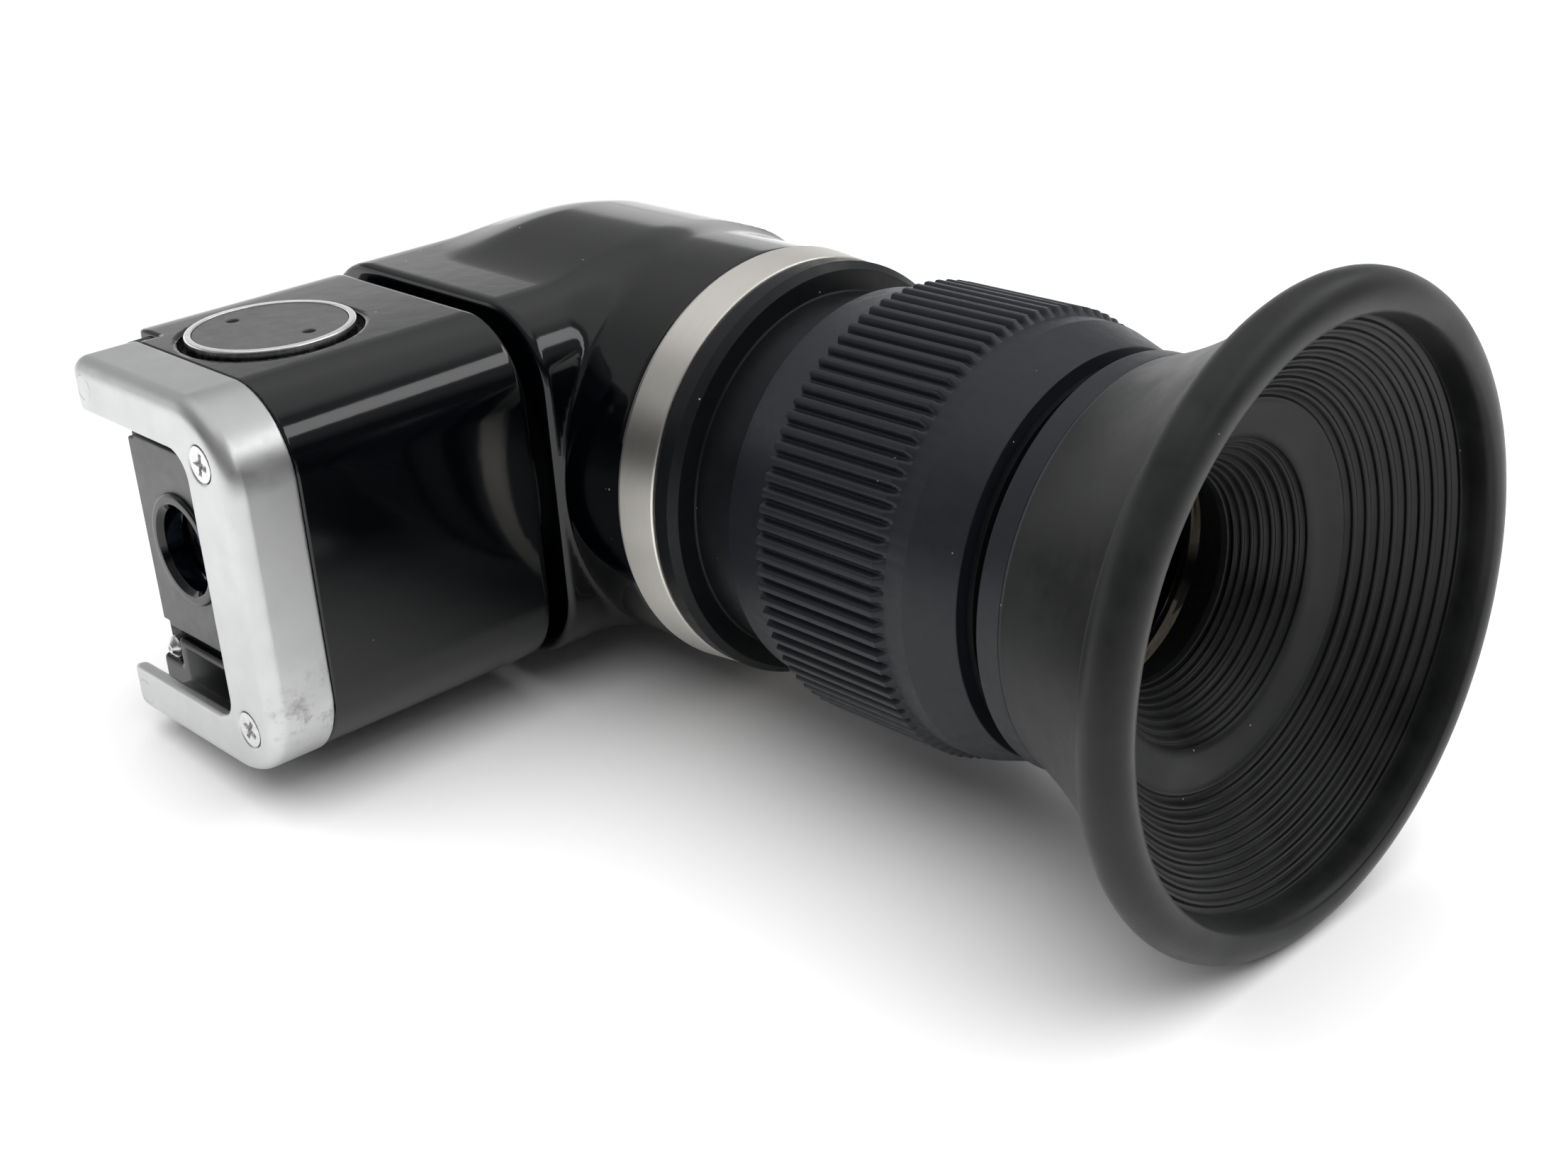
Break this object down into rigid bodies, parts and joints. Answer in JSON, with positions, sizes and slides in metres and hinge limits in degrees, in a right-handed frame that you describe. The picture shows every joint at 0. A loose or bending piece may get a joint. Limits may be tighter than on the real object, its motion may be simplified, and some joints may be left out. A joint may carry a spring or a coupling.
{
  "type": "right-angle viewfinder attachment",
  "caption": "Clip-on right-angle finder for a camera's eyepiece: a swivelling prism elbow, a magnification selector and a focusing eyepiece with a rubber eyecup.",
  "frame": {"origin": "on the objective's optical axis, in the plane of the bracket's front face", "axes": "+X along the block from the bracket into the elbow; -Y along the eyepiece towards the eye; +Z the side of the block with the selector disc"},
  "size_m": [0.0644, 0.0841, 0.0444],
  "materials": {
    "satin_alu": "satin, fine brushed",
    "screw_steel": "bright turned",
    "plate_grey": "dark grey satin",
    "block_black": "matte black moulding",
    "gloss_black": "gloss black lacquer",
    "coated_glass": "coated optical glass",
    "plated_steel": "bright plated",
    "bush_brass": "turned",
    "spring_steel": "drawn wire",
    "drum_black": "black anodised",
    "disc_grey": "dark grey satin",
    "bright_edge": "bright turned edge",
    "washer_black": "low-friction washer",
    "champagne": "brushed champagne",
    "ring_anodised": "matte blue-black anodised",
    "eyecup_rubber": "matte moulded",
    "holder_alu": "black anodised",
    "satin_black": "satin black anodised"
  },
  "bodies": {
    "block": {"shoe_bracket": "satin_alu", "bracket_screws": "screw_steel", "front_plate": "plate_grey", "plate_screw": "screw_steel", "mount_block": "block_black", "rail_stop": "gloss_black", "objective_bezel": "gloss_black", "objective_lens": "coated_glass", "block_housing": "gloss_black", "selector_bush_top": "satin_black", "selector_bush_bottom": "bush_brass", "swivel_bush": "bush_brass", "click_ball": "plated_steel", "click_spring": "spring_steel"},
    "latch": {"latch_pin": "plated_steel", "latch_spring": "spring_steel"},
    "selector": {"selector_drum": "drum_black", "drum_lens_front": "coated_glass", "drum_lens_rear": "coated_glass", "selector_cap": "disc_grey", "selector_trim_ring": "bright_edge", "selector_knob": "gloss_black", "knob_screw": "screw_steel"},
    "elbow": {"swivel_sleeve": "drum_black", "swivel_nut": "bush_brass", "swivel_washer": "washer_black", "relay_lens": "coated_glass", "relay_lens_ring": "drum_black", "elbow_housing": "gloss_black", "prism": "coated_glass", "prism_holder": "holder_alu", "prism_clip": "spring_steel", "prism_screws": "screw_steel", "trim_ring": "champagne", "helicoid_tube": "satin_black", "guide_key": "spring_steel"},
    "carrier": {"eyepiece_barrel": "drum_black", "retaining_rings": "satin_black", "field_lens": "coated_glass", "field_lens_ring": "drum_black", "eye_lens_rear": "coated_glass", "lens_spacer": "drum_black", "eye_lens_front": "coated_glass", "lens_retainer": "drum_black", "eyecup_collar": "ring_anodised", "eyecup": "eyecup_rubber"},
    "focus_ring": {"diopter_ring": "ring_anodised"}
  },
  "joints": [
    {"name": "latch_press", "type": "slide", "parent": "block", "child": "latch", "axis": [1, 0, 0], "range_m": [0, 0.0008], "stiffness_N_per_m": 300, "springref_m": -0.0005},
    {"name": "selector_turn", "type": "hinge", "parent": "block", "child": "selector", "pos_m": [0.01244, 0, 0], "axis": [0, 0, 1], "range_deg": [0, 90]},
    {"name": "elbow_turn", "type": "hinge", "parent": "block", "child": "elbow", "pos_m": [0.025, 0, 0], "axis": [1, 0, 0], "continuous": true},
    {"name": "eyepiece_slide", "type": "slide", "parent": "elbow", "child": "carrier", "axis": [0, -1, 0], "range_m": [-0.0032, 0.002]},
    {"name": "diopter_turn", "type": "hinge", "parent": "carrier", "child": "focus_ring", "pos_m": [0.04216, -0.04, 0], "axis": [0, -1, 0], "range_deg": [-160, 100]}
  ],
  "couplings": [
    {"joint": "diopter_turn", "follows": "eyepiece_slide", "rad_per_m": 872.66}
  ]
}
